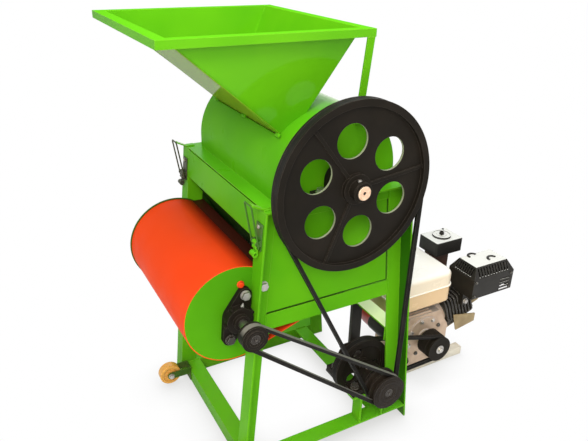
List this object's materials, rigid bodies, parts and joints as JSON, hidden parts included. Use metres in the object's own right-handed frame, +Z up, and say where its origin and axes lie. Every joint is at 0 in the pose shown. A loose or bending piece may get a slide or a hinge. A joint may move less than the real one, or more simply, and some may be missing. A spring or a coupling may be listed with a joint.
{
  "type": "peanut sheller",
  "caption": "Belt-driven peanut sheller on a leaning angle-iron frame, with a hinged hopper cover, round front blower, large holed pulley and a small petrol engine behind.",
  "frame": {"origin": "on the floor under the middle of the machine's overall box", "axes": "+X from the blower end to the engine end, +Y from the drive side to the far side, +Z up"},
  "size_m": [1.01, 0.539, 0.997],
  "materials": {
    "green_paint": "gloss enamel",
    "orange_paint": "gloss enamel",
    "black_iron": "black paint on casting",
    "steel": "bare or zinc plated",
    "belt_rubber": "matt",
    "black_paint": "satin",
    "pale_paint": "satin",
    "alloy": "as cast",
    "red_paint": "gloss",
    "cream_plastic": "gloss",
    "black_plastic": "matt",
    "amber_plastic": "moulded polyurethane"
  },
  "bodies": {
    "frame": {"legs_fan_end": "green_paint", "legs_engine_end": "green_paint", "top_rails": "green_paint", "mid_rails": "green_paint", "base_rails": "green_paint", "side_panels": "green_paint", "base_rail_fan": "green_paint", "base_rail_engine": "green_paint", "mid_rail_engine": "green_paint", "front_strip": "green_paint", "rear_strip": "green_paint", "grain_boards": "green_paint", "jackshaft_stand": "green_paint", "fan_end_near": "green_paint", "fan_end_far": "green_paint", "fan_housing": "orange_paint", "drum_bearings": "black_iron", "jackshaft_bearings": "black_iron", "fan_bearings": "black_iron", "hinge_pins": "steel", "concave_grate": "steel", "latch_bases": "steel", "frame_bolts": "steel", "wheel_brackets": "steel", "main_belt": "belt_rubber", "fan_belt": "belt_rubber", "engine_belt": "belt_rubber", "jackshaft_post": "black_paint", "starter_motor": "black_paint", "muffler": "black_paint", "muffler_guard": "black_paint", "engine_bed": "pale_paint", "crankcase": "alloy", "rocker_cover": "alloy", "carburettor": "alloy", "fan_shroud": "red_paint", "recoil_starter": "red_paint", "fuel_tank": "cream_plastic", "air_filter": "black_plastic"},
    "drum": {"drum_shaft": "steel", "drum_rotor": "steel", "drum_pulley": "black_iron"},
    "fan": {"fan_rotor": "steel", "fan_pulley": "black_iron"},
    "jack": {"jackshaft": "steel", "double_pulley": "black_iron", "driven_pulley": "black_iron"},
    "crank": {"crankshaft": "steel", "engine_pulley": "black_iron", "flywheel": "black_iron"},
    "cover": {"drum_cover": "green_paint", "hopper": "green_paint", "hopper_stays": "green_paint"},
    "lever_near": {"latch_lever_near": "steel"},
    "lever_far": {"latch_lever_far": "steel"},
    "loop_near": {"latch_loop_near": "steel"},
    "loop_far": {"latch_loop_far": "steel"},
    "roller_near": {"wheel_near": "amber_plastic"},
    "roller_far": {"wheel_far": "amber_plastic"},
    "cap": {"fuel_cap": "black_plastic"}
  },
  "joints": [
    {"name": "drum_spin", "type": "hinge", "parent": "frame", "child": "drum", "pos_m": [-0.14, 0.0275, 0.7053], "axis": [0, 1, 0], "continuous": true},
    {"name": "jack_spin", "type": "hinge", "parent": "frame", "child": "jack", "pos_m": [-0.019, 0.0275, 0.167], "axis": [0, 1, 0], "continuous": true},
    {"name": "fan_spin", "type": "hinge", "parent": "frame", "child": "fan", "pos_m": [-0.369, 0.0275, 0.438], "axis": [0, 1, 0], "continuous": true},
    {"name": "crank_spin", "type": "hinge", "parent": "frame", "child": "crank", "pos_m": [0.24, 0.0275, 0.131], "axis": [0, 1, 0], "continuous": true},
    {"name": "cover_hinge", "type": "hinge", "parent": "frame", "child": "cover", "pos_m": [0.04471, 0.0275, 0.672], "axis": [0, 1, 0], "range_deg": [0, 95]},
    {"name": "latch_lever_near", "type": "hinge", "parent": "frame", "child": "lever_near", "pos_m": [-0.33098, -0.1845, 0.606], "axis": [0, 1, 0], "range_deg": [0, 110]},
    {"name": "latch_lever_far", "type": "hinge", "parent": "frame", "child": "lever_far", "pos_m": [-0.33098, 0.2395, 0.606], "axis": [0, 1, 0], "range_deg": [0, 110]},
    {"name": "latch_loop_near", "type": "hinge", "parent": "lever_near", "child": "loop_near", "pos_m": [-0.33098, -0.1845, 0.596], "axis": [0, 1, 0], "range_deg": [-143, 0]},
    {"name": "latch_loop_far", "type": "hinge", "parent": "lever_far", "child": "loop_far", "pos_m": [-0.33098, 0.2395, 0.596], "axis": [0, 1, 0], "range_deg": [-143, 0]},
    {"name": "wheel_near", "type": "hinge", "parent": "frame", "child": "roller_near", "pos_m": [-0.415, -0.1445, 0.04], "axis": [0, 1, 0], "continuous": true},
    {"name": "wheel_far", "type": "hinge", "parent": "frame", "child": "roller_far", "pos_m": [-0.415, 0.1995, 0.04], "axis": [0, 1, 0], "continuous": true},
    {"name": "fuel_cap_turn", "type": "hinge", "parent": "frame", "child": "cap", "pos_m": [0.19, 0.0075, 0.329], "axis": [0, 0, 1], "range_deg": [0, 90]}
  ],
  "couplings": [
    {"joint": "jack_spin", "follows": "drum_spin", "ratio": 4.3671},
    {"joint": "fan_spin", "follows": "drum_spin", "ratio": 7.3404},
    {"joint": "crank_spin", "follows": "drum_spin", "ratio": 9.8763},
    {"joint": "latch_loop_near", "follows": "latch_lever_near", "ratio": -1.3},
    {"joint": "latch_loop_far", "follows": "latch_lever_far", "ratio": -1.3}
  ]
}
